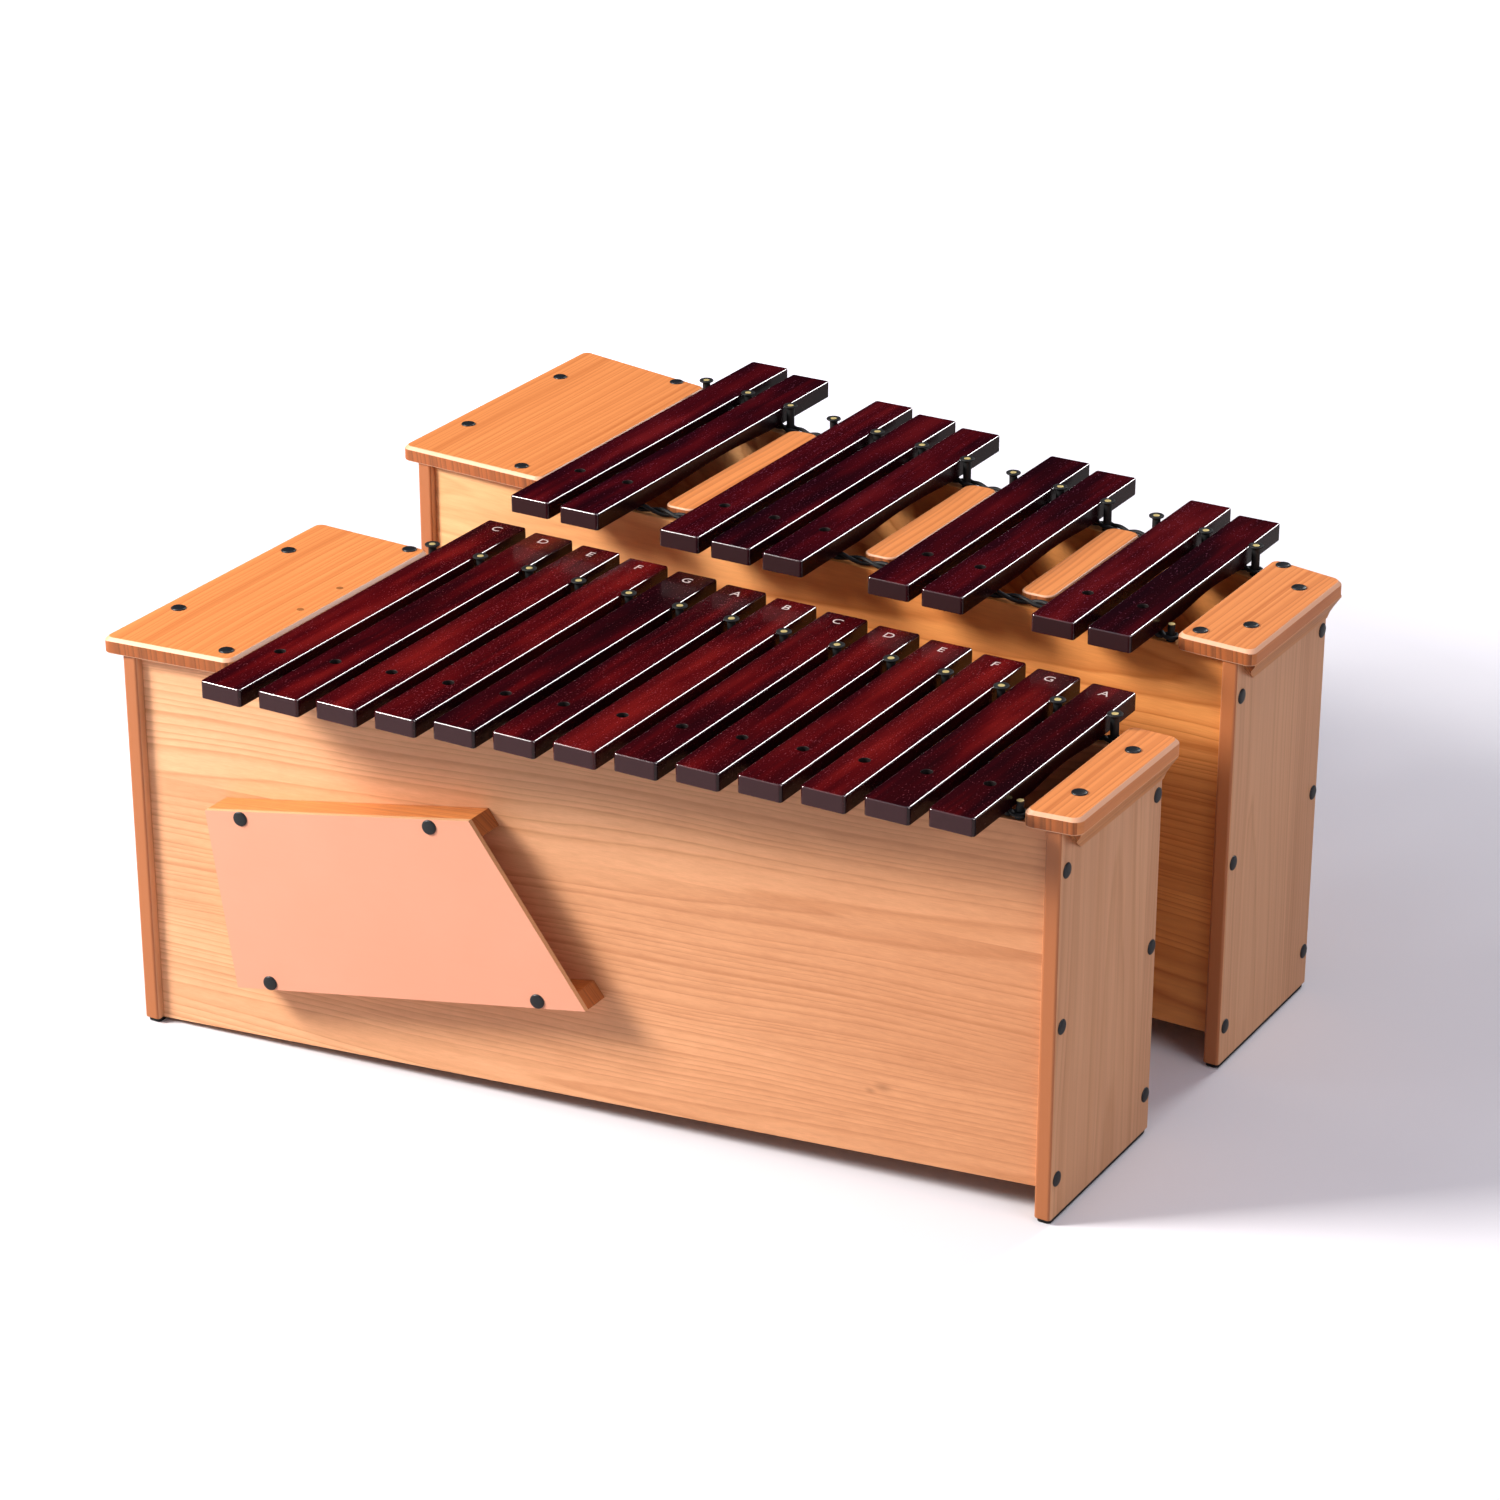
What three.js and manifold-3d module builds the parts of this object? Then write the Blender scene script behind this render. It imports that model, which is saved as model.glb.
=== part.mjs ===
// Bass xylophone, chromatic pair: a diatonic resonator box in front and a chromatic box behind it.
// Millimetres, +Z up, X along the rows of bars (treble to the right), Y from the player to the back.
// Every board, rail, bar, cord row and foot strip is its own closed mesh named after its node.
import * as THREE from 'three';
import Module from 'manifold-3d';

const wasm = await Module();
wasm.setup();

// ---- driving dimensions -------------------------------------------------------------------
const FIT_GAP = 0.3;            // air left between neighbouring pieces
const BAR_PITCH = 56;           // centre to centre of neighbouring bars
const BAR_WIDTH = 43;
const BAR_THICKNESS = 16.9;
const BAR_EDGE = 1.8;           // rounding of a bar's top edges
const TUNING_ARCH = 4.2;        // depth of the tuning cut under each bar
const PIN_HOLE_RADIUS = 5.2;
const PANEL_THICKNESS = 14;
const END_THICKNESS = 15.8;
const END_EDGE_RADIUS = 3;
const PANEL_RECESS = 7.5;       // front and back panels stand behind the end panels' edges
const PIN_TO_PANEL_FACE = 5;    // pin line to the panel's outer face
const BOARD_THICKNESS = 15;
const BOARD_CHAMFER = 3.2;
const BOARD_CORNER = 8;
const BOARD_OVERHANG = 2.5;     // boards past the end panels' front and back edges
const FOOT_THICKNESS = 4.3;
const FLOOR_BOARD_THICKNESS = 9;
const CORD_WIDTH = 9;
const SLEEVE_RADIUS = 3.4;      // front pins
const TUBE_RADIUS = 4;          // rear pins
const FLANGE_RADIUS = 7.2;
const FLANGE_THICKNESS = 1.6;
const FLANGE_RISE = 3.3;        // flange's top face above the bars
const FRONT_PIN_HEIGHT = 16.5;  // front pins above the panel's top edge
const GRIP_WIDTH = 14;
const GRIP_HEIGHT = 25;
const GRIP_NOSE = 7; // height of the strip's square front end; below it the end slopes back
const GRIP_SLOPE = 1.6;
const GROUND_LEFT = 3;          // panels' bottom edge above the ground, bass end
const GROUND_RIGHT = 30;        // and treble end
const DUCT_DEPTH = 26.5;        // rails of the tuning duct
const DUCT_COVER = 5;
const DUCT_RAIL = 16;
const SPACER_WIDTH = 34;
const SPACER_THICKNESS = 10;

// Straight lines in plan, each as [y at the row's start, slope along x].
const diatonic = {
  prefix: 'dia', rowStart: -315, barTop: 397.3, boardTop: 386.2,
  frontEnds: [-449.4, 0.1319], rearEnds: [4.7, -0.0939],
  frontPins: [-363.0, 0.102], rearPins: [-82.0, -0.0459],
  left: -450.3, right: 449.1, coverBoard: [-469, -335], capBoard: [414, 465.1],
  slots: 13, anchor: 405.5,
  bars: ['01_c', '02_d', '03_e', '04_f', '05_g', '06_a', '07_b',
    '08_c', '09_d', '10_e', '11_f', '12_g', '13_a'].map((note, slot) => [slot, note]),
};
const chromatic = {
  prefix: 'chr', rowStart: -285, barTop: 430.5, boardTop: 419.1,
  frontEnds: [-3.8, -0.0266], rearEnds: [449.4, -0.2437],
  frontPins: [87.25, -0.0608], rearPins: [366.75, -0.207],
  left: -453, right: 454.7, coverBoard: [-470.8, -300], capBoard: [393, 470.7],
  slots: 12, anchor: 382,
  bars: [[0, '01_cs'], [1, '02_ds'], [3, '03_fs'], [4, '04_gs'], [5, '05_as'],
    [7, '06_cs'], [8, '07_ds'], [10, '08_fs'], [11, '09_gs']],
};

// ---- materials ------------------------------------------------------------------------------
const finish = (colour, roughness, metalness = 0) => ({ color: colour, roughness, metalness });
const PINE = finish(0xd9985c, 0.55);
const PINE_EDGE = finish(0xc98a55, 0.6);
const ROSEWOOD = finish(0x3a0a10, 0.25);
const RUBBER = finish(0x121314, 0.75);
const CAP_PLASTIC = finish(0x22262a, 0.45);

const group = new THREE.Group();
group.name = 'bass_xylophone';

function addPiece(name, geometry, look) {
  const mesh = new THREE.Mesh(geometry, new THREE.MeshStandardMaterial(look));
  mesh.name = name;
  group.add(mesh);
}

// ---- geometry helpers -----------------------------------------------------------------------
// A closed skin over rings of points: each ring is convex and all rings have the same count.
function loft(rings) {
  const count = rings[0].length;
  const points = rings.flat();
  const faces = [];
  for (let r = 0; r < rings.length - 1; r++) {
    for (let i = 0; i < count; i++) {
      const a = r * count + i, b = r * count + (i + 1) % count;
      faces.push(a, b, b + count, a, b + count, a + count);
    }
  }
  const last = (rings.length - 1) * count;
  for (let i = 1; i < count - 1; i++) {
    faces.push(0, i + 1, i, last, last + i, last + i + 1);
  }
  return indexed(new Float32Array(points.flat()), new Uint32Array(faces));
}

function indexed(positions, triangles) {
  const geometry = new THREE.BufferGeometry();
  geometry.setAttribute('position', new THREE.BufferAttribute(positions, 3));
  geometry.setIndex(new THREE.BufferAttribute(triangles, 1));
  geometry.computeVertexNormals();
  return geometry;
}

function toGeometry(solid) {
  const mesh = solid.getMesh();
  return indexed(new Float32Array(mesh.vertProperties), new Uint32Array(mesh.triVerts));
}

// Weld a geometry's corners and hand it to the boolean kernel.
function toSolid(geometry) {
  const source = geometry.index ? geometry.toNonIndexed() : geometry;
  const position = source.getAttribute('position');
  const seen = new Map();
  const corners = [];
  const faces = [];
  for (let i = 0; i < position.count; i++) {
    const p = [position.getX(i), position.getY(i), position.getZ(i)];
    const key = p.map((v) => Math.round(v * 1e4)).join(',');
    if (!seen.has(key)) {
      seen.set(key, corners.length);
      corners.push(p);
    }
    faces.push(seen.get(key));
  }
  const kept = [];
  for (let i = 0; i < faces.length; i += 3) {
    const [a, b, c] = faces.slice(i, i + 3);
    if (a !== b && b !== c && c !== a) kept.push(a, b, c);
  }
  return new wasm.Manifold(new wasm.Mesh({
    numProp: 3,
    vertProperties: new Float32Array(corners.flat()),
    triVerts: new Uint32Array(kept),
  }));
}

function warp(geometry, move) {
  const position = geometry.getAttribute('position');
  for (let i = 0; i < position.count; i++) {
    const [x, y, z] = move(position.getX(i), position.getY(i), position.getZ(i));
    position.setXYZ(i, x, y, z);
  }
  return geometry;
}

// A board drawn as an outline in X and Z, its two faces following the plan line y(x).
function uprightBoard(outline, planLine, offset, thickness, holes = []) {
  const shape = new THREE.Shape(outline.map(([x, z]) => new THREE.Vector2(x, z)));
  for (const hole of holes) {
    shape.holes.push(new THREE.Path(hole.map(([x, z]) => new THREE.Vector2(x, z))));
  }
  const geometry = new THREE.ExtrudeGeometry(shape, { depth: thickness, bevelEnabled: false });
  return toGeometry(toSolid(warp(geometry, (x, z, depth) => [x, planLine(x) + offset + thickness - depth, z])));
}

// A rectangle with rounded corners as points, anticlockwise, corner radius and steps given.
function roundedRectangle(x0, x1, y0, y1, radius, steps) {
  const points = [];
  const centres = [[x1, y0, -90], [x1, y1, 0], [x0, y1, 90], [x0, y0, 180]];
  for (const [cx, cy, start] of centres) {
    const mx = cx === x1 ? x1 - radius : x0 + radius;
    const my = cy === y1 ? y1 - radius : y0 + radius;
    for (let s = 0; s <= steps; s++) {
      const angle = THREE.MathUtils.degToRad(start + 90 * s / steps);
      points.push([mx + radius * Math.cos(angle), my + radius * Math.sin(angle)]);
    }
  }
  return points;
}

const circle = (cx, cy, radius, sides) => Array.from({ length: sides }, (_, i) => {
  const angle = 2 * Math.PI * (i + 0.5) / sides;
  return [cx + radius * Math.cos(angle), cy + radius * Math.sin(angle)];
});
const ringAt = (points, z) => points.map(([x, y]) => [x, y, z]);
const pillar = (x, y, radius, z0, z1, sides = 8) => (
  loft([ringAt(circle(x, y, radius, sides), z0), ringAt(circle(x, y, radius, sides), z1)]));

// ---- one bar --------------------------------------------------------------------------------
// Cross-sections in X and Z along the bar: rounded top edges, a shallow arch cut underneath.
function bar(set, slot) {
  const x0 = set.rowStart + slot * BAR_PITCH;
  const along = slot * BAR_PITCH;
  const yFront = set.frontEnds[0] + set.frontEnds[1] * along;
  const yRear = set.rearEnds[0] + set.rearEnds[1] * along;
  const bottom = set.barTop - BAR_THICKNESS;
  const middle = along + BAR_WIDTH / 2;
  const yHole = set.frontPins[0] + set.frontPins[1] * middle;
  const yNode = set.rearPins[0] + set.rearPins[1] * middle;
  const section = (y, inset, lift) => {
    const a = x0 + inset, b = x0 + BAR_WIDTH - inset, t = set.barTop - inset;
    const u = bottom + lift + inset * 0.4, e = BAR_EDGE;
    return [[a + 1, y, u], [a, y, u + 1], [a, y, t - e], [a + e * 0.3, y, t - e * 0.3], [a + e, y, t],
      [b - e, y, t], [b - e * 0.3, y, t - e * 0.3], [b, y, t - e], [b, y, u + 1], [b - 1, y, u]];
  };
  const archFrom = yHole + 34, archTo = yNode - 26, span = archTo - archFrom;
  const rings = [section(yFront, 1.3, 0), section(yFront + 1.3, 0, 0)];
  for (const [t, lift] of [[0, 0], [0.16, 0.6], [0.35, 0.93], [0.65, 0.93], [0.84, 0.6], [1, 0]]) {
    rings.push(section(archFrom + span * t, 0, lift * TUNING_ARCH));
  }
  rings.push(section(yRear - 1.3, 0, 0), section(yRear, 1.3, 0));
  const body = toSolid(loft(rings));
  const hole = toSolid(pillar(x0 + BAR_WIDTH / 2, yHole, PIN_HOLE_RADIUS, bottom - 5, set.barTop + 5, 12));
  return toGeometry(body.subtract(hole));
}

// ---- one cord row: rubber cord lying on the panel's edge, joined to the pins' sleeves --------
function cordRow(set, line, pins, from, to, flanged) {
  const top = set.boardTop - BOARD_THICKNESS;
  const low = top + FIT_GAP, high = set.barTop - BAR_THICKNESS - FIT_GAP;
  const yAt = (x) => line[0] + line[1] * (x - set.rowStart);
  const half = CORD_WIDTH / 2, flat = half * 0.55, mid = (low + high) / 2;
  const profile = [[-flat, low], [-half, mid], [-flat, high], [flat, high], [half, mid], [flat, low]];
  const ring = (x) => profile.map(([dy, z]) => [x, yAt(x) + dy, z]);
  let row = toSolid(loft([ring(to), ring(from)]));
  for (const x of pins) {
    const y = yAt(x);
    if (flanged) {
      const flangeTop = set.barTop + FLANGE_RISE;
      row = row.add(toSolid(pillar(x, y, TUBE_RADIUS, low, flangeTop - 0.4, 10)));
      row = row.add(toSolid(pillar(x, y, FLANGE_RADIUS, flangeTop - FLANGE_THICKNESS, flangeTop, 12)));
    } else {
      row = row.add(toSolid(pillar(x, y, SLEEVE_RADIUS, low, top + FRONT_PIN_HEIGHT, 10)));
    }
  }
  return toGeometry(row);
}

// ---- a top board with rounded corners and chamfered upper edges ------------------------------
function topBoard(set, [x0, x1]) {
  const lines = planLines(set);
  const under = set.boardTop - BOARD_THICKNESS;
  const corner = (radius, inset) => {
    const outline = [];
    const width = x1 - x0;
    for (const [u, v] of roundedRectangle(inset, width - inset, inset, 1000 - inset, radius, 3)) {
      const x = x0 + u;
      const front = lines.endFront(x) - BOARD_OVERHANG, back = lines.endBack(x) + BOARD_OVERHANG;
      const y = v < 500 ? front + v : back - (1000 - v);
      outline.push([x, y]);
    }
    return outline;
  };
  return loft([
    ringAt(corner(BOARD_CORNER, 0), under),
    ringAt(corner(BOARD_CORNER, 0), set.boardTop - BOARD_CHAMFER),
    ringAt(corner(BOARD_CORNER - BOARD_CHAMFER * 0.5, BOARD_CHAMFER), set.boardTop),
  ]);
}

// Plan lines of one box: the pins stand near the middle of each long panel's top edge.
function planLines(set) {
  const pinY = (line) => (x) => line[0] + line[1] * (x - set.rowStart);
  const frontPin = pinY(set.frontPins), rearPin = pinY(set.rearPins);
  return {
    frontPin,
    rearPin,
    frontFace: (x) => frontPin(x) - PIN_TO_PANEL_FACE,
    backFace: (x) => rearPin(x) + PIN_TO_PANEL_FACE,
    endFront: (x) => frontPin(x) - PIN_TO_PANEL_FACE - PANEL_RECESS,
    endBack: (x) => rearPin(x) + PIN_TO_PANEL_FACE + PANEL_RECESS,
  };
}

// ---- one resonator box ------------------------------------------------------------------------
function box(set, holesInFront) {
  const { prefix } = set;
  const lines = planLines(set);
  const under = set.boardTop - BOARD_THICKNESS;
  const panelTop = under - FIT_GAP;
  const innerLeft = set.left + END_THICKNESS + FIT_GAP;
  const innerRight = set.right - END_THICKNESS - FIT_GAP;
  const ground = (x) => GROUND_LEFT + FOOT_THICKNESS * 0.4
    + (GROUND_RIGHT - GROUND_LEFT) * (x - innerLeft) / (innerRight - innerLeft);

  for (const [side, x0, x1] of [
    ['left', set.left, set.left + END_THICKNESS],
    ['right', set.right - END_THICKNESS, set.right],
  ]) {
    const middle = (x0 + x1) / 2;
    const y0 = lines.endFront(middle), y1 = lines.endBack(middle);
    const outline = roundedRectangle(x0, x1, y0, y1, END_EDGE_RADIUS, 3);
    addPiece(`${prefix}_${side}_end_panel`,
      loft([ringAt(outline, FOOT_THICKNESS + FIT_GAP), ringAt(outline, panelTop)]), PINE);
    const foot = roundedRectangle(x0 + 1.5, x1 - 1.5, y0 + 3, y1 - 3, 3, 2);
    addPiece(`${prefix}_${side}_foot_strip`, loft([ringAt(foot, 0), ringAt(foot, FOOT_THICKNESS)]), RUBBER);
  }

  const outline = [[innerLeft, ground(innerLeft)], [innerRight, ground(innerRight)],
    [innerRight, panelTop], [innerLeft, panelTop]];
  addPiece(`${prefix}_front_panel`,
    uprightBoard(outline, lines.frontFace, 0, PANEL_THICKNESS, holesInFront), PINE);
  addPiece(`${prefix}_back_panel`,
    uprightBoard(outline, lines.backFace, -PANEL_THICKNESS, PANEL_THICKNESS), PINE);

  // The floor board runs between the long panels and climbs with their bottom edges.
  const inside = PANEL_THICKNESS + FIT_GAP;
  const floorPlan = [
    [innerLeft, lines.frontFace(innerLeft) + inside], [innerRight, lines.frontFace(innerRight) + inside],
    [innerRight, lines.backFace(innerRight) - inside], [innerLeft, lines.backFace(innerLeft) - inside],
  ];
  const floorAt = (lift) => floorPlan.map(([x, y]) => [x, y, ground(x) + 6 + lift]);
  addPiece(`${prefix}_floor_board`, loft([floorAt(0), floorAt(FLOOR_BOARD_THICKNESS)]), PINE_EDGE);

  addPiece(`${prefix}_cover_board`, topBoard(set, set.coverBoard), PINE);
  addPiece(`${prefix}_cap_board`, topBoard(set, set.capBoard), PINE);

  // Coved grip strip under the cap board's overhang.
  const gripX = set.right + FIT_GAP, gripTop = under - FIT_GAP;
  const cove = [[0, 0], [GRIP_WIDTH, 0], [GRIP_WIDTH, -2], [GRIP_WIDTH * 0.76, -7],
    [GRIP_WIDTH * 0.48, -13], [GRIP_WIDTH * 0.24, -19], [1.2, -GRIP_HEIGHT], [0, -GRIP_HEIGHT]];
  const gripShape = new THREE.Shape(cove.map(([x, z]) => new THREE.Vector2(gripX + x, gripTop + z)));
  const gripFront = lines.endFront(set.right) + 4, gripBack = lines.endBack(set.right) - 2;
  const gripLength = gripBack - gripFront;
  const grip = new THREE.ExtrudeGeometry(gripShape, { depth: gripLength, bevelEnabled: false });
  const gripY = (z, depth) => depth < gripLength / 2 ? gripBack
    : gripFront + GRIP_SLOPE * Math.max(0, gripTop - z - GRIP_NOSE);
  addPiece(`${prefix}_grip_strip`,
    toGeometry(toSolid(warp(grip, (x, z, depth) => [x, gripY(z, depth), z]))), PINE_EDGE);

  // Front pins stand under each bar's middle, rear pins between the bars.
  const frontPins = set.bars.map(([slot]) => set.rowStart + slot * BAR_PITCH + BAR_WIDTH / 2);
  frontPins.push(set.anchor);
  const rearPins = Array.from({ length: set.slots + 1 },
    (_, k) => set.rowStart + k * BAR_PITCH - (BAR_PITCH - BAR_WIDTH) / 2);
  addPiece(`${prefix}_front_cord`,
    cordRow(set, set.frontPins, frontPins, set.rowStart - 8, set.anchor + 6, false), RUBBER);
  addPiece(`${prefix}_rear_cord`,
    cordRow(set, set.rearPins, rearPins, rearPins[0] - 6, rearPins[set.slots] + 6, true), RUBBER);

  for (const [slot, note] of set.bars) {
    addPiece(`${prefix}_bar_${note}`, bar(set, slot), ROSEWOOD);
  }
}

// ---- tuning duct on the diatonic box's front panel ---------------------------------------------
const ductCorners = [[-353.5, 245.5], [-86, 287], [24.5, 124.5], [-329, 72.2]];
const portCentre = [-238, 172], portRadius = 46;

function duct(set) {
  const lines = planLines(set);
  const [topLeft, topRight, bottomRight, bottomLeft] = ductCorners.map(([x, z]) => new THREE.Vector2(x, z));
  const down = bottomLeft.clone().sub(topLeft).normalize();
  const across = topRight.clone().sub(topLeft).normalize();
  const slide = (corner, toward, amount) => corner.clone().add(
    toward.clone().sub(corner).normalize().multiplyScalar(amount));
  const pair = (v) => [v.x, v.y];
  const board = (points, offset, thickness) => (
    uprightBoard(points.map(pair), lines.frontFace, -FIT_GAP - offset - thickness, thickness));
  const slant = DUCT_RAIL / Math.abs(bottomRight.clone().sub(topRight).normalize().dot(down));

  addPiece('duct_cover', board([bottomLeft, bottomRight, topRight, topLeft],
    DUCT_DEPTH + FIT_GAP, DUCT_COVER), PINE);
  const topRightIn = slide(topRight, bottomRight, slant);
  addPiece('duct_top_rail', board([slide(topLeft, bottomLeft, DUCT_RAIL), topRightIn, topRight, topLeft],
    0, DUCT_DEPTH), PINE_EDGE);
  const bottomRightIn = slide(bottomRight, topRight, slant);
  const bottomLeftIn = slide(bottomLeft, topLeft, DUCT_RAIL);
  addPiece('duct_bottom_rail', board([bottomLeft, bottomRight, bottomRightIn, bottomLeftIn],
    0, DUCT_DEPTH), PINE_EDGE);
  const railTop = slide(topLeft, bottomLeft, DUCT_RAIL + FIT_GAP);
  const railBottom = slide(bottomLeft, topLeft, DUCT_RAIL + FIT_GAP);
  const inward = across.clone().multiplyScalar(DUCT_RAIL);
  addPiece('duct_left_rail', board([railBottom, railBottom.clone().add(inward),
    railTop.clone().add(inward), railTop], 0, DUCT_DEPTH), PINE_EDGE);

  // Domed caps over the four screws, just proud of the cover.
  const screws = [['top_left', -317, 244], ['top_right', -125, 273.5],
    ['bottom_left', -294.5, 84], ['bottom_right', -22.5, 124.5]];
  for (const [where, x, z] of screws) {
    const face = lines.frontFace(x) - 2 * FIT_GAP - DUCT_DEPTH - DUCT_COVER;
    const slope = set.frontPins[1];
    const ring = (radius, out) => circle(0, 0, radius, 12).map(([u, w]) => (
      [x + u, face - out + slope * u, z + w]));
    addPiece(`duct_screw_cap_${where}`, loft([ring(6.8, FIT_GAP), ring(6.6, 1.1), ring(3.6, 2.3)]), CAP_PLASTIC);
  }
}

// ---- spacer boards over the open gaps of the chromatic row --------------------------------------
function spacers(set) {
  const lines = planLines(set);
  const under = set.boardTop - BOARD_THICKNESS;
  [[1, 3], [5, 7], [8, 10]].forEach(([before, after], i) => {
    const gapFrom = before * BAR_PITCH + BAR_WIDTH, gapTo = after * BAR_PITCH;
    const middle = set.rowStart + (gapFrom + gapTo) / 2 - 1.5;
    const x0 = middle - SPACER_WIDTH / 2, x1 = middle + SPACER_WIDTH / 2;
    const y0 = lines.frontPin(x0) + CORD_WIDTH / 2 + 1.2, y1 = lines.rearPin(x1) - CORD_WIDTH / 2 - 1.2;
    const outline = (inset) => roundedRectangle(x0 + inset, x1 - inset, y0 + inset, y1 - inset, 9, 4);
    addPiece(`chr_spacer_board_${i + 1}`, loft([
      ringAt(outline(0), under), ringAt(outline(0), under + SPACER_THICKNESS - 2),
      ringAt(outline(2), under + SPACER_THICKNESS)]), PINE);
  });
}

box(diatonic, [circle(portCentre[0], portCentre[1], portRadius, 24).reverse()]);
duct(diatonic);
box(chromatic, []);
spacers(chromatic);

export default group;
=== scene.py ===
import math

import bmesh
import bpy
from mathutils import Matrix, Vector


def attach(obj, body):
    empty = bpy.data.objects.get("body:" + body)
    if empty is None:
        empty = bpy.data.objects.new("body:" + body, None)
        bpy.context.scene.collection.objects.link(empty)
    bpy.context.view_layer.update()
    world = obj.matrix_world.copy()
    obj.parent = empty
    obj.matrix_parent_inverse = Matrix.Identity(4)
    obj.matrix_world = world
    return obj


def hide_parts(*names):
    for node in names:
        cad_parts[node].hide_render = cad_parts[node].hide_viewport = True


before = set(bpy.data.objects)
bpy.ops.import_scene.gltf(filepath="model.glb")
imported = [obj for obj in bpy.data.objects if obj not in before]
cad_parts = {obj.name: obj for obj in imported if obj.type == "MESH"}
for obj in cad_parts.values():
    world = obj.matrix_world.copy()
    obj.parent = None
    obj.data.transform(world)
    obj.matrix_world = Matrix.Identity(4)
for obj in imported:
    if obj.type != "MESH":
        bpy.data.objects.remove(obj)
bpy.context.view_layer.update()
MM = 0.001

# ---- the two boxes, in millimetres, on the same plan lines as the solids -------------------
PITCH, BAR_W, BAR_T = 56.0, 43.0, 16.9
BOARD_T, END_T, FOOT_T = 15.0, 15.8, 4.3
PIN_TO_FACE, RECESS, OVERHANG = 5.0, 7.5, 2.5
FIT_GAP = 0.3                        # air between neighbouring pieces
DUCT_DEPTH, DUCT_COVER = 26.5, 5.0
FLANGE_RISE = 3.3                    # rear pins' flanges above the bars
FRONT_PIN_HEIGHT = 16.4              # front pins above their panel's top edge
SPACER_HALF = 17.0
SCREW_INSET = 10.7                   # end panels' screws from the panels' edges
DIATONIC = dict(
    prefix="dia", body="diatonic_box", start=-315.0, bar_top=397.3, board_top=386.2,
    front_ends=(-449.4, 0.1319), rear_ends=(4.7, -0.0939),
    front_pins=(-363.0, 0.102), rear_pins=(-82.0, -0.0459),
    left=-450.3, right=449.1, cover=(-469.0, -335.0), cap=(414.0, 465.1), slots=13, anchor=405.5,
    bars=list(enumerate("01_c 02_d 03_e 04_f 05_g 06_a 07_b 08_c 09_d 10_e 11_f 12_g 13_a".split())),
    screw_heights=(333.2, 187.8, 41.9),
)
CHROMATIC = dict(
    prefix="chr", body="chromatic_box", start=-285.0, bar_top=430.5, board_top=419.1,
    front_ends=(-3.8, -0.0266), rear_ends=(449.4, -0.2437),
    front_pins=(87.25, -0.0608), rear_pins=(366.75, -0.207),
    left=-453.0, right=454.7, cover=(-470.8, -300.0), cap=(393.0, 470.7), slots=12, anchor=382.0,
    bars=[(0, "01_cs"), (1, "02_ds"), (3, "03_fs"), (4, "04_gs"), (5, "05_as"),
          (7, "06_cs"), (8, "07_ds"), (10, "08_fs"), (11, "09_gs")],
    screw_heights=(368.6, 205.9, 41.1),
)


def pin_y(s, key, x):
    """The front or rear pin line's place along Y at a given X."""
    return s[key][0] + s[key][1] * (x - s["start"])


def end_front(s, x):
    return pin_y(s, "front_pins", x) - PIN_TO_FACE - RECESS


def end_back(s, x):
    return pin_y(s, "rear_pins", x) + PIN_TO_FACE + RECESS


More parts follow.
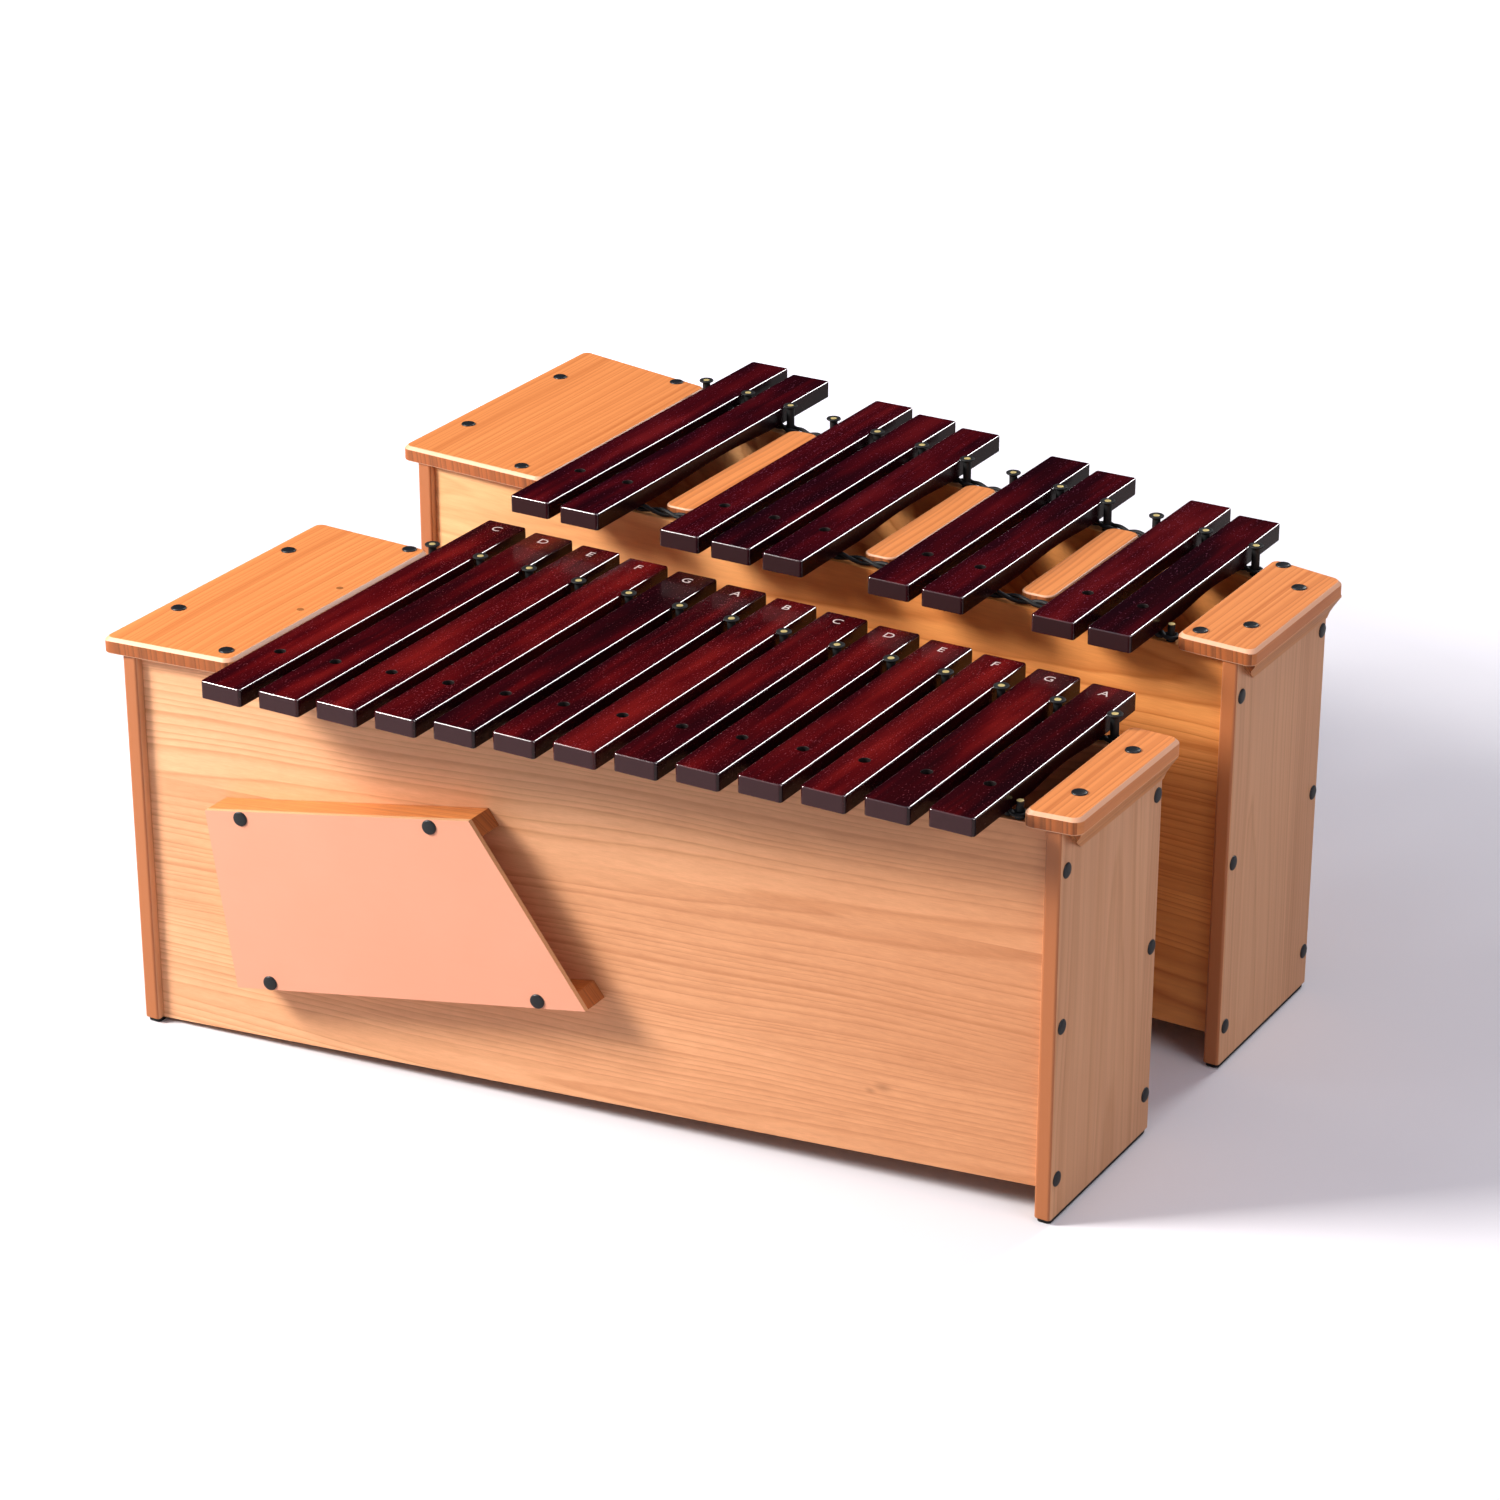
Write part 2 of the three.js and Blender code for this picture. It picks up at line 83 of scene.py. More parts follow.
# ---- node helpers ----------------------------------------------------------------------------
class Graph:
    """A material's node graph; numbers and sockets can be mixed freely in every call."""

    def __init__(self, name):
        self.material = bpy.data.materials.new(name)
        self.material.use_nodes = True
        self.nodes = self.material.node_tree.nodes
        self.links = self.material.node_tree.links
        self.shader = self.nodes["Principled BSDF"]

    def put(self, socket, value):
        if isinstance(value, bpy.types.NodeSocket):
            self.links.new(value, socket)
        else:
            socket.default_value = value

    def add(self, kind, out=0, props=None, **inputs):
        node = self.nodes.new(kind)
        for key, value in (props or {}).items():
            setattr(node, key, value)
        for key, value in inputs.items():
            name = int(key[1:]) if key[0] == "i" and key[1:].isdigit() else key.replace("_", " ")
            self.put(node.inputs[name], value)
        return node.outputs[out]

    def math(self, op, a, b=0.0, c=0.0, clamp=False):
        return self.add("ShaderNodeMath", props=dict(operation=op, use_clamp=clamp), i0=a, i1=b, i2=c)

    def mix(self, fac, a, b, mode="MIX"):
        node = self.nodes.new("ShaderNodeMix")
        node.data_type, node.blend_type = "RGBA", mode
        for socket, value in ((node.inputs[0], fac), (node.inputs[6], a), (node.inputs[7], b)):
            self.put(socket, value)
        return node.outputs[2]

    def ramp(self, fac, stops):
        node = self.nodes.new("ShaderNodeValToRGB")
        elements = node.color_ramp.elements
        while len(elements) < len(stops):
            elements.new(0.5)
        for element, (at, colour) in zip(elements, stops):
            element.position = at
            element.color = colour if len(colour) == 4 else (*colour, 1)
        self.put(node.inputs[0], fac)
        return node.outputs[0]

    def noise(self, vector, scale, detail=3.0, roughness=0.5):
        return self.add("ShaderNodeTexNoise", Vector=vector, Scale=scale, Detail=detail, Roughness=roughness)

    def grain(self, axes, scales, *detail):
        """Noise stretched by its own scale along each axis."""
        pairs = zip(axes, scales)
        stretched = [a if scale == 1 else self.math("MULTIPLY", a, scale) for a, scale in pairs]
        return self.noise(self.vector(*stretched), 1.0, *detail)

    def coordinates(self):
        """The object coordinate node and its three axes in metres."""
        node = self.nodes.new("ShaderNodeTexCoord")
        return node, self.split(node.outputs["Object"])

    def split(self, vector):
        parts = self.nodes.new("ShaderNodeSeparateXYZ")
        self.links.new(vector, parts.inputs[0])
        return tuple(parts.outputs)

    def vector(self, x, y, z):
        return self.add("ShaderNodeCombineXYZ", X=x, Y=y, Z=z)

    def finish(self, colour, roughness, bump=None, strength=0.1, depth=0.0003, **sockets):
        self.put(self.shader.inputs["Base Color"], colour)
        self.put(self.shader.inputs["Roughness"], roughness)
        if bump is not None:
            normal = self.add("ShaderNodeBump", Height=bump, Strength=strength, Distance=depth)
            self.put(self.shader.inputs["Normal"], normal)
        for key, value in sockets.items():
            self.shader.inputs[key.replace("_", " ")].default_value = value
        return self.material


def grey(value):
    return (value, value, value)


# ---- materials ---------------------------------------------------------------------------------
def pine(name, grain, face, early, late, seed, ring=0.006, depth=0.07, tilt=0.02, stave=0.0, centre=0.0,
         contrast=1.0, wander=0.030, chamfer_highlight=0.0, edge=0.0, pale_fade_and_painted_light=None, knots=()):
    """Lacquered pine. grain is the axis the fibres run along and face the axis across the board's
    thickness: rings about a pith below the face give long arches and straight side grain.
    Its fade argument is (start, stop, pale colour, how much grain is left at the start) along the grain: the
    paler tone towards the start is partly the board's own tone and partly painted light, brightest where the
    lamp falls."""
    g = Graph(name)
    coordinate, axes = g.coordinates()
    across = ({0, 1, 2} - {grain, face}).pop()
    along, side, thick = axes[grain], axes[across], axes[face]
    tone = 0.5
    if stave:
        index = g.math("FLOOR", g.math("DIVIDE", g.math("SUBTRACT", side, centre - stave / 2), stave))
        tone = g.add("ShaderNodeTexWhiteNoise", props=dict(noise_dimensions="1D"),
                     W=g.math("ADD", index, seed))
        middle = g.math("MULTIPLY", g.math("ADD", index, 0.5), stave)
        local = g.math("SUBTRACT", g.math("SUBTRACT", side, centre - stave / 2), middle)
        side = g.math("ADD", local, g.math("MULTIPLY", g.math("SUBTRACT", tone, 0.5), stave * 1.3))
        along = g.math("ADD", along, g.math("MULTIPLY", tone, 1.7))
    else:
        side = g.math("SUBTRACT", side, centre)
    slow = g.vector(g.math("MULTIPLY", side, 5.0), seed * 3.1, g.math("MULTIPLY", along, 1.6))
    slow = g.noise(slow, 1.0, 2.0)
    drift = g.math("MULTIPLY", g.math("SUBTRACT", slow, 0.5), wander)
    fine = g.noise(g.vector(g.math("MULTIPLY", side, 45.0), seed, g.math("MULTIPLY", along, 5.0)), 1.0, 3.0)
    jitter = g.math("MULTIPLY", g.math("SUBTRACT", fine, 0.5), 0.0035)
    height = g.math("ADD", g.math("ADD", thick, depth), g.math("MULTIPLY", along, tilt))
    side = g.math("ADD", side, drift)
    squares = g.math("ADD", g.math("MULTIPLY", side, side), g.math("MULTIPLY", height, height))
    radius = g.math("SQRT", squares)
    radius = g.math("ADD", radius, jitter)
    years = g.noise(g.vector(g.math("MULTIPLY", radius, 62.0), seed, 0.0), 1.0, 2.0)
    radius = g.math("ADD", radius, g.math("MULTIPLY", years, 0.030))
    phase = g.math("FRACT", g.math("DIVIDE", radius, ring))
    rings = g.ramp(phase, [(0.0, grey(0.05)), (0.40, grey(0.16)), (0.74, grey(0.55)), (0.86, grey(1.0)),
                           (0.93, grey(0.55)), (1.0, grey(0.05))])
    fibre = g.noise(g.vector(g.math("MULTIPLY", side, 950.0), g.math("MULTIPLY", thick, 950.0),
                             g.math("MULTIPLY", along, 10.0)), 1.0, 4.0, 0.6)
    streak = g.noise(g.vector(g.math("MULTIPLY", side, 210.0), g.math("MULTIPLY", thick, 210.0),
                              g.math("MULTIPLY", along, 2.6)), 1.0, 3.0, 0.6)
    cloud = g.noise(g.vector(g.math("MULTIPLY", side, 14.0), seed, g.math("MULTIPLY", along, 3.0)), 1.0, 4.0)
    amount = g.math("MULTIPLY", g.math("MULTIPLY", rings, contrast), g.math("ADD", 0.30, cloud))
    ground = (*early, 1)
    # paler and calmer towards the start: partly the board's own tone, partly painted light where the lamp
    # falls brightest
    if pale_fade_and_painted_light:
        start, stop, pale, calm = pale_fade_and_painted_light
        step = g.math("DIVIDE", g.math("SUBTRACT", axes[grain], start), stop - start, clamp=True)
        ground = g.mix(step, (*pale, 1), (*early, 1))
        amount = g.math("MULTIPLY", amount, g.math("ADD", calm, g.math("MULTIPLY", step, 1 - calm)))
    colour = g.mix(amount, ground, (*late, 1))
    shift = g.math("ADD", g.math("MULTIPLY", g.math("SUBTRACT", tone, 0.5), 0.12), 1.0)
    shift = g.math("ADD", shift, g.math("MULTIPLY", g.math("SUBTRACT", cloud, 0.5), 0.22))
    shift = g.math("ADD", shift, g.math("MULTIPLY", g.math("SUBTRACT", streak, 0.5), 0.26))
    shift = g.math("ADD", shift, g.math("MULTIPLY", g.math("SUBTRACT", fibre, 0.5), 0.24))
    warmth = g.vector(shift, g.math("POWER", shift, 1.4), g.math("POWER", shift, 1.7))
    colour = g.mix(1.0, colour, warmth, "MULTIPLY")
    if knots:
        knot = None
        for k_along, k_side, size in knots:
            da = g.math("DIVIDE", g.math("SUBTRACT", axes[grain], k_along), 1.7)
            ds = g.math("SUBTRACT", axes[across], k_side)
            far = g.math("SQRT", g.math("ADD", g.math("MULTIPLY", da, da), g.math("MULTIPLY", ds, ds)))
            spot = g.math("SUBTRACT", 1.0, g.math("DIVIDE", far, size), clamp=True)
            knot = spot if knot is None else g.math("MAXIMUM", knot, spot)
        dark = g.ramp(knot, [(0.0, grey(0)), (0.3, grey(0.12)), (0.7, grey(0.4)), (1.0, grey(0.55))])
        colour = g.mix(dark, colour, (0.36, 0.14, 0.055, 1))
    normal = g.split(coordinate.outputs["Normal"])
    ending = g.math("GREATER_THAN", g.math("ABSOLUTE", normal[grain]), 0.75)
    deep = g.mix(rings, (*[c * 0.95 for c in late], 1), (*[c * 0.34 for c in late], 1))
    deep = g.mix(g.math("MULTIPLY", fibre, 0.30), deep, (*[c * 0.85 for c in early], 1))
    colour = g.mix(ending, colour, deep)
    # painted highlight: the slanted faces of the boards' chamfers are painted a pale cream, as if catching
    # the light
    if chamfer_highlight:
        lit_chamfer = g.math("ABSOLUTE", normal[face])
        lit_chamfer = g.math("MULTIPLY", g.math("GREATER_THAN", lit_chamfer, 0.30), g.math("LESS_THAN", lit_chamfer, 0.94))
        colour = g.mix(g.math("MULTIPLY", lit_chamfer, chamfer_highlight), colour, (0.90, 0.52, 0.33, 1))
    if edge:
        narrow = g.math("GREATER_THAN", g.math("MULTIPLY", normal[across], -1.0), 0.6)
        colour = g.mix(g.math("MULTIPLY", narrow, edge), colour, (0.47, 0.15, 0.048, 1))
    relief = g.math("ADD", g.math("MULTIPLY", rings, 0.5), g.math("MULTIPLY", fibre, 0.6))
    gloss = g.math("ADD", 0.40, g.math("MULTIPLY", fibre, 0.12))
    gloss = g.math("ADD", gloss, g.math("MULTIPLY", ending, 0.15))
    return g.finish(colour, gloss, relief, 0.10, 0.0002, Coat_Weight=0.15, Coat_Roughness=0.3)


ROW_HEIGHT = 0.4065                   # between the two rows' bar faces, metres
ROW_START, ROW_SHIFT = 0.315, 0.030   # front row's left end, and the rear row's beside it
GAP_HALF = (PITCH - BAR_W) / 2 * MM


def rosewood(name, coat=1.0, coat_ior=1.55, shade=1.0, bump=0.02):
    """Red-brown lacquered rosewood; every bar draws its own streaks from where it lies in its row."""
    g = Graph(name)
    _, (x, y, z) = g.coordinates()
    row = g.math("GREATER_THAN", z, ROW_HEIGHT)
    shifted = g.math("MULTIPLY", row, ROW_SHIFT)
    index = g.math("DIVIDE", g.math("ADD", x, g.math("SUBTRACT", ROW_START + GAP_HALF, shifted)), PITCH * MM)
    index = g.math("FLOOR", index)
    pick = g.add("ShaderNodeTexWhiteNoise", props=dict(noise_dimensions="1D"),
                 W=g.math("ADD", index, g.math("MULTIPLY", row, 40.0)))
    lane = g.math("ADD", y, g.math("MULTIPLY", pick, 3.0))
    axes = (x, lane, z)
    streak = g.grain(axes, (75.0, 5.0, 60.0), 4.0, 0.55)
    broad = g.grain(axes, (16.0, 5.5, 1), 2.0)
    fibre = g.grain(axes, (900.0, 45.0, 900.0), 3.0)
    blend = g.math("ADD", g.math("MULTIPLY", streak, 0.55), g.math("MULTIPLY", broad, 0.75))
    blend = g.math("ADD", blend, g.math("MULTIPLY", g.math("SUBTRACT", pick, 0.5), 0.16))
    colour = g.ramp(blend, [(0.42, (0.012, 0.0007, 0.0016)), (0.56, (0.040, 0.0012, 0.0022)),
                            (0.68, (0.105, 0.0028, 0.0030)), (0.84, (0.21, 0.010, 0.006))])
    colour = g.mix(g.math("MULTIPLY", fibre, 0.30), colour, (0.016, 0.0008, 0.0014, 1))
    # each bar is darker towards its long edges
    across = g.math("DIVIDE", g.math("ADD", x, g.math("SUBTRACT", ROW_START, shifted)), PITCH * MM)
    across = g.math("DIVIDE", g.math("FRACT", across), BAR_W / PITCH)
    centre = g.math("ADD", 0.42, g.math("MULTIPLY", broad, 0.2))
    middle = g.math("ABSOLUTE", g.math("SUBTRACT", across, centre))
    rim = g.ramp(middle, [(0.10, grey(0)), (0.30, grey(0.35)), (0.50, grey(0.8))])
    colour = g.mix(g.math("MULTIPLY", rim, 0.8), colour, (0.018, 0.0010, 0.0028, 1))
    # pale open pores: short dashes along the grain, denser in patches and on some bars
    dash = g.grain(axes, (1000.0, 340.0, 1000.0), 1.0, 0.5)
    patch = g.grain(axes, (60.0, 20.0, 1), 3.0)
    limit = g.math("MULTIPLY", g.math("ADD", patch, g.math("MULTIPLY", pick, 0.3)), 0.16)
    limit = g.math("SUBTRACT", 0.78, limit)
    pore = g.math("MULTIPLY", g.math("SUBTRACT", dash, limit), 12.0, clamp=True)
    colour = g.mix(g.math("MULTIPLY", pore, 0.42), colour, (0.38, 0.085, 0.080, 1))
    front_tint = (shade, 0.9 * shade, 1.35 * shade, 1)
    rear_tint = (0.74 * shade, 0.75 * shade, 1.7 * shade, 1)
    colour = g.mix(1.0, colour, g.mix(row, front_tint, rear_tint), "MULTIPLY")
    gloss = g.math("ADD", 0.26, g.math("MULTIPLY", pore, 0.25))
    relief = g.math("SUBTRACT", g.math("MULTIPLY", fibre, 0.35), pore)
    return g.finish(colour, gloss, relief, bump, 0.0002, Coat_Weight=coat, Coat_Roughness=0.10,
                    Coat_IOR=coat_ior, Specular_IOR_Level=0.22 if coat else 0.12)


def sawn_end(name, low, high):
    g = Graph(name)
    coordinate = g.nodes.new("ShaderNodeTexCoord")
    saw = g.noise(coordinate.outputs["Object"], 650.0, 4.0, 0.6)
    blot = g.noise(coordinate.outputs["Object"], 60.0, 2.0)
    colour = g.mix(saw, (*low, 1), (*high, 1))
    colour = g.mix(g.math("MULTIPLY", blot, 0.4), colour, (*low, 1))
    return g.finish(colour, g.math("ADD", 0.5, g.math("MULTIPLY", saw, 0.2)), saw, 0.12, 0.0002,
                    Specular_IOR_Level=0.3)


def plywood():
    g = Graph("duct_plywood")
    coordinate, (x, y, z) = g.coordinates()
    fibre = g.grain((x, y, z), (18.0, 1, 700.0), 4.0)
    cloud = g.noise(coordinate.outputs["Object"], 9.0, 3.0)
    colour = g.mix(cloud, (0.85, 0.36, 0.228, 1), (0.91, 0.405, 0.27, 1))
    colour = g.mix(g.math("MULTIPLY", fibre, 0.12), colour, (0.62, 0.33, 0.19, 1))
    normal = g.split(coordinate.outputs["Normal"])
    edge = g.math("LESS_THAN", g.math("ABSOLUTE", normal[1]), 0.5)
    ply = g.math("FRACT", g.math("DIVIDE", g.math("SUBTRACT", y, g.math("MULTIPLY", x, 0.102)), 0.0017))
    layers = g.mix(ply, (0.55, 0.27, 0.12, 1), (0.85, 0.50, 0.27, 1))
    colour = g.mix(edge, colour, layers)
    return g.finish(colour, g.math("ADD", 0.42, g.math("MULTIPLY", fibre, 0.1)), fibre, 0.05, 0.0002,
                    Coat_Weight=0.1, Coat_Roughness=0.35)


def rubber():
    g = Graph("black_rubber")
    coordinate = g.nodes.new("ShaderNodeTexCoord")
    grain = g.noise(coordinate.outputs["Object"], 1400.0, 3.0)
    dust = g.noise(coordinate.outputs["Object"], 90.0, 4.0)
    colour = g.mix(g.math("MULTIPLY", dust, 0.6), (0.004, 0.0045, 0.005, 1), (0.016, 0.018, 0.020, 1))
    return g.finish(colour, g.math("ADD", 0.46, g.math("MULTIPLY", dust, 0.25)), grain, 0.15, 0.0001,
                    Specular_IOR_Level=0.35)


def cap_plastic():
    g = Graph("screw_cap_plastic")
    coordinate = g.nodes.new("ShaderNodeTexCoord")
    scuff = g.noise(coordinate.outputs["Object"], 500.0, 5.0, 0.7)
    colour = g.mix(g.math("MULTIPLY", scuff, 0.7), (0.004, 0.005, 0.007, 1), (0.020, 0.024, 0.030, 1))
    return g.finish(colour, g.math("ADD", 0.26, g.math("MULTIPLY", scuff, 0.25)), scuff, 0.08, 0.0001)


def brass():
    g = Graph("brass_nail")
    coordinate = g.nodes.new("ShaderNodeTexCoord")
    worn = g.noise(coordinate.outputs["Object"], 900.0, 4.0)
    colour = g.mix(worn, (0.66, 0.50, 0.17, 1), (0.92, 0.78, 0.36, 1))
    return g.finish(colour, g.math("ADD", 0.36, g.math("MULTIPLY", worn, 0.2)), worn, 0.08, 0.0001,
                    Metallic=0.55)


def print_white():
    g = Graph("note_print")
    coordinate = g.nodes.new("ShaderNodeTexCoord")
    worn = g.noise(coordinate.outputs["Object"], 1800.0, 3.0)
    colour = g.mix(worn, (0.42, 0.33, 0.31, 1), (0.82, 0.74, 0.71, 1))
    return g.finish(colour, 0.45)


X, Y, Z = 0, 1, 2
KNOTS = ((0.290, 0.095, 0.0065), (0.278, 0.089, 0.0040))
M = dict(
    # both front panels are paler towards their left ends: partly their own tone, partly painted light
    front=pine("pine_front", X, Y, (0.76, 0.335, 0.155), (0.56, 0.205, 0.075), 1.0, ring=0.0052,
               depth=0.405, tilt=-0.085, stave=0.136, centre=0.185, contrast=0.72,
               pale_fade_and_painted_light=(-0.42, 0.42, (0.94, 0.50, 0.262), 1.0), knots=KNOTS),
    front_chr=pine("pine_front_chr", X, Y, (0.80, 0.32, 0.088), (0.48, 0.125, 0.018), 4.0, ring=0.0060,
                   depth=-0.06, tilt=0.085, stave=0.15, centre=0.24, contrast=0.85,
                   pale_fade_and_painted_light=(-0.42, 0.05, (0.88, 0.50, 0.23), 0.4)),
    end=pine("pine_end", Z, X, (0.72, 0.37, 0.195), (0.52, 0.22, 0.09), 2.0, ring=0.0050, depth=-0.36,
             tilt=0.012, stave=0.10, centre=0.02, contrast=0.6, edge=0.95),
    # the top boards carry a painted highlight on their chamfers
    top=pine("pine_top", Y, Z, (0.77, 0.275, 0.084), (0.43, 0.105, 0.019), 3.0, ring=0.0075, depth=-0.30,
             tilt=0.02, centre=-1.15, contrast=0.72, wander=0.034, chamfer_highlight=0.75),
    edge=pine("pine_edge", Y, Z, (0.70, 0.29, 0.10), (0.50, 0.16, 0.04), 5.0, ring=0.005, depth=-0.32),
    rail=pine("pine_rail", X, Z, (0.68, 0.235, 0.058), (0.46, 0.125, 0.024), 6.0, ring=0.005,
              depth=-0.02, centre=-0.9, wander=0.01),
    rosewood=rosewood("rosewood_lacquer", coat=0.55, shade=0.86),
    rosewood_edge=rosewood("rosewood_polished_edge", coat_ior=2.6, bump=0.002),
    # painted shade: the bars' long side faces get a copy of the rosewood darkened to 0.35 and without coat,
    # as if in shade
    rosewood_side_painted_shade=rosewood("rosewood_side_painted_shade", coat=0.0, shade=0.35),
    end_dia=sawn_end("sawn_end_dia", (0.028, 0.009, 0.0115), (0.053, 0.019, 0.024)),
    end_chr=sawn_end("sawn_end_chr", (0.017, 0.0022, 0.0036), (0.034, 0.0052, 0.0080)),
    # painted shade: the walls of the drilled pin holes are coloured near black, as if in shade
    bore=sawn_end("drilled_bore_painted_shade", (0.004, 0.002, 0.002), (0.010, 0.004, 0.004)),
    plug=sawn_end("wood_plug", (0.22, 0.075, 0.018), (0.42, 0.16, 0.04)),
    plywood=plywood(), rubber=rubber(), cap=cap_plastic(), brass=brass(), print=print_white(),
)


# ---- mesh helpers --------------------------------------------------------------------------------
def make(name, verts, faces, body, slot, material, replaces=(), sharp=35.0):
    """A smooth-shaded piece from points in millimetres, riding on body; edges past sharp stay hard."""
    mesh = bpy.data.meshes.new(name)
    mesh.from_pydata([tuple(c * MM for c in v) for v in verts], [], faces)
    work = bmesh.new()
    work.from_mesh(mesh)
    bmesh.ops.recalc_face_normals(work, faces=work.faces)
    work.to_mesh(mesh)
    work.free()
    mesh.materials.append(material)
    mesh.shade_smooth()
    mesh.set_sharp_from_angle(angle=math.radians(sharp))
    obj = bpy.data.objects.new(name, mesh)
    bpy.context.scene.collection.objects.link(obj)
    flatten(obj)
    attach(obj, body)
    if replaces:
        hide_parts(*replaces)
    return obj


def flatten(obj):
    """Large flat faces keep their own normals, so rounded edges alone carry the highlights."""
    weighted = obj.modifiers.new("even_shading", "WEIGHTED_NORMAL")
    weighted.keep_sharp, weighted.weight = True, 100


def loft(rings, closed=False):
    """A skin over rings of equal counts, capped at both ends unless it closes on itself."""
    count = len(rings[0])
    verts = [p for ring in rings for p in ring]
    faces = []
    total = len(rings)
    for r in range(total if closed else total - 1):
        for i in range(count):
            a, b = r * count + i, r * count + (i + 1) % count
            c, d = ((r + 1) % total) * count + (i + 1) % count, ((r + 1) % total) * count + i
            faces.append((a, b, c, d))
    if not closed:
        faces.append(tuple(range(count)))
        faces.append(tuple((total - 1) * count + i for i in reversed(range(count))))
    return verts, faces


def lathe(profile, at, axis, steps=24):
    """profile is (radius, height) pairs from the axis out and back to the axis; height runs along axis."""
    up = Vector(axis).normalized()
    u = up.orthogonal().normalized()
    v = up.cross(u)
    base = Vector(at)
    verts, faces, rows = [], [], []
    for radius, height in profile:
        if radius < 1e-6:
            rows.append([len(verts)])
            verts.append(tuple(base + up * height))
        else:
            row = []
            for k in range(steps):
                a = 2 * math.pi * k / steps
                row.append(len(verts))
                verts.append(tuple(base + up * height + (u * math.cos(a) + v * math.sin(a)) * radius))
            rows.append(row)
    for low, high in zip(rows, rows[1:]):
        for k in range(steps):
            n = (k + 1) % steps
            if len(low) == 1:
                faces.append((low[0], high[k], high[n]))
            elif len(high) == 1:
                faces.append((low[k], low[n], high[0]))
            else:
                faces.append((low[k], low[n], high[n], high[k]))
    return verts, faces


def gather(parts):
    """Several (points, faces) pairs as one."""
    verts, faces = [], []
    for v, f in parts:
        base = len(verts)
        verts += v
        faces += [tuple(i + base for i in face) for face in f]
    return verts, faces


def rounded(x0, x1, y0, y1, radius, steps):
    """A rectangle's outline with round corners."""
    points = []
    for cx, cy, start in ((x1, y0, -90), (x1, y1, 0), (x0, y1, 90), (x0, y0, 180)):
        mx = cx - radius if cx == x1 else cx + radius
        my = cy - radius if cy == y1 else cy + radius
        for s in range(steps + 1):
            a = math.radians(start + 90 * s / steps)
            points.append((mx + radius * math.cos(a), my + radius * math.sin(a)))
    return points


def arc_inset(distance, radius):
    """How far a rounded edge of that radius is set back at a distance from the end."""
    gap = max(0.0, radius - distance)
    return radius - math.sqrt(max(0.0, radius * radius - gap * gap))


